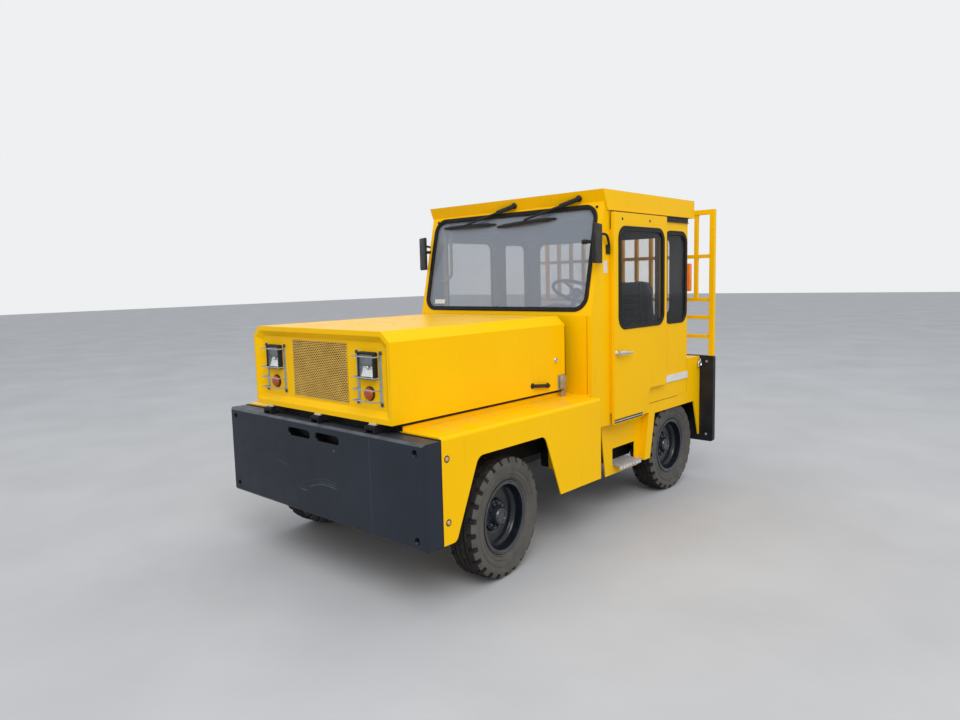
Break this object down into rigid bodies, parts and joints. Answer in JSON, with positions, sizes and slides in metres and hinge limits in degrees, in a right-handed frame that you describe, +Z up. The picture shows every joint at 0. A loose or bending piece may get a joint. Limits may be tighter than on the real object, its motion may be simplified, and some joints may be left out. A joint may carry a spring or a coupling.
{
  "type": "tow tractor",
  "caption": "Compact yellow tow tractor with a sliding-door cab, tilting hood, steered front wheels, heavy bumper block and rear guard rail.",
  "frame": {"origin": "middle of the overall length and width, on the ground", "axes": "+Z up, -Y to the front, +X to the vehicle's left"},
  "size_m": [1.944, 3.6, 2.383],
  "materials": {
    "body_yellow": "gloss yellow paint",
    "bumper_grey": "satin anthracite paint",
    "chassis_black": "satin black paint",
    "rim_grey": "gloss dark blue-grey paint",
    "tyre": "worn rubber",
    "glass": "clear",
    "steel": "zinc plated",
    "tread_alu": "checker plate",
    "grille_ochre": "perforated sheet",
    "lamp_glass": "clear lens",
    "amber": "amber lens",
    "black_plastic": "matt",
    "seat_cloth": "ribbed black cloth",
    "cast": "painted casting"
  },
  "bodies": {
    "chassis": {"chassis_frame": "chassis_black", "outriggers": "chassis_black", "front_bumper": "bumper_grey", "rear_bumper": "chassis_black", "tow_coupling": "cast", "fender_left": "body_yellow", "fender_right": "body_yellow", "engine_block": "cast", "driveline": "cast", "side_tanks": "chassis_black", "rear_body": "body_yellow", "step_panels": "body_yellow", "step_treads": "tread_alu", "cab_floor": "chassis_black", "cab_front": "body_yellow", "cab_glass": "glass", "cab_side_left": "body_yellow", "cab_side_right": "body_yellow", "cab_rear": "body_yellow", "roof": "body_yellow", "door_tracks": "chassis_black", "rear_guard": "body_yellow", "hood_mount": "chassis_black", "seat_frame": "chassis_black", "seat_cushion": "seat_cloth", "seat_back": "seat_cloth", "dashboard": "black_plastic", "steering_wheel": "black_plastic", "mirrors": "black_plastic", "wipers": "black_plastic", "tail_lamps": "amber", "front_axle": "cast", "rear_axle": "cast", "leaf_springs": "chassis_black"},
    "hood": {"hood": "body_yellow", "grille": "grille_ochre", "headlamps": "lamp_glass", "indicators": "amber", "lamp_guards": "steel"},
    "door_left": {"door_left": "body_yellow", "door_glass_left": "glass"},
    "door_right": {"door_right": "body_yellow", "door_glass_right": "glass"},
    "knuckle_left": {"knuckle_left": "cast"},
    "knuckle_right": {"knuckle_right": "cast"},
    "tie_rod": {"tie_rod": "steel"},
    "wheel_front_left": {"rim_front_left": "rim_grey", "tyre_front_left": "tyre"},
    "wheel_front_right": {"rim_front_right": "rim_grey", "tyre_front_right": "tyre"},
    "wheel_rear_left": {"rim_rear_left": "rim_grey", "tyre_rear_left": "tyre"},
    "wheel_rear_right": {"rim_rear_right": "rim_grey", "tyre_rear_right": "tyre"}
  },
  "joints": [
    {"name": "hood_tilt", "type": "hinge", "parent": "chassis", "child": "hood", "pos_m": [0, -1.77, 0.973], "axis": [1, 0, 0], "range_deg": [0, 65]},
    {"name": "door_left_slide", "type": "slide", "parent": "chassis", "child": "door_left", "axis": [0, 1, 0], "range_m": [0, 0.42]},
    {"name": "door_right_slide", "type": "slide", "parent": "chassis", "child": "door_right", "axis": [0, 1, 0], "range_m": [0, 0.42]},
    {"name": "steer_left", "type": "hinge", "parent": "chassis", "child": "knuckle_left", "pos_m": [0.655, -1.119, 0.365], "axis": [0, 0, 1], "range_deg": [-42, 28]},
    {"name": "steer_right", "type": "hinge", "parent": "chassis", "child": "knuckle_right", "pos_m": [-0.655, -1.119, 0.365], "axis": [0, 0, 1], "range_deg": [-42, 28]},
    {"name": "tie_rod_pivot", "type": "hinge", "parent": "knuckle_left", "child": "tie_rod", "pos_m": [0.63428, -0.95027, 0.3027], "axis": [0, 0, 1], "range_deg": [-28, 42]},
    {"name": "spin_front_left", "type": "hinge", "parent": "knuckle_left", "child": "wheel_front_left", "pos_m": [0.82373, -1.09828, 0.365], "axis": [0.9925, 0.1219, 0], "continuous": true},
    {"name": "spin_front_right", "type": "hinge", "parent": "knuckle_right", "child": "wheel_front_right", "pos_m": [-0.82373, -1.13972, 0.365], "axis": [0.9925, 0.1219, 0], "continuous": true},
    {"name": "spin_rear_left", "type": "hinge", "parent": "chassis", "child": "wheel_rear_left", "pos_m": [0.729, 1.15, 0.365], "axis": [1, 0, 0], "continuous": true},
    {"name": "spin_rear_right", "type": "hinge", "parent": "chassis", "child": "wheel_rear_right", "pos_m": [-0.729, 1.15, 0.365], "axis": [1, 0, 0], "continuous": true}
  ],
  "couplings": [
    {"joint": "steer_right", "follows": "steer_left", "ratio": 1},
    {"joint": "tie_rod_pivot", "follows": "steer_left", "ratio": -1}
  ]
}
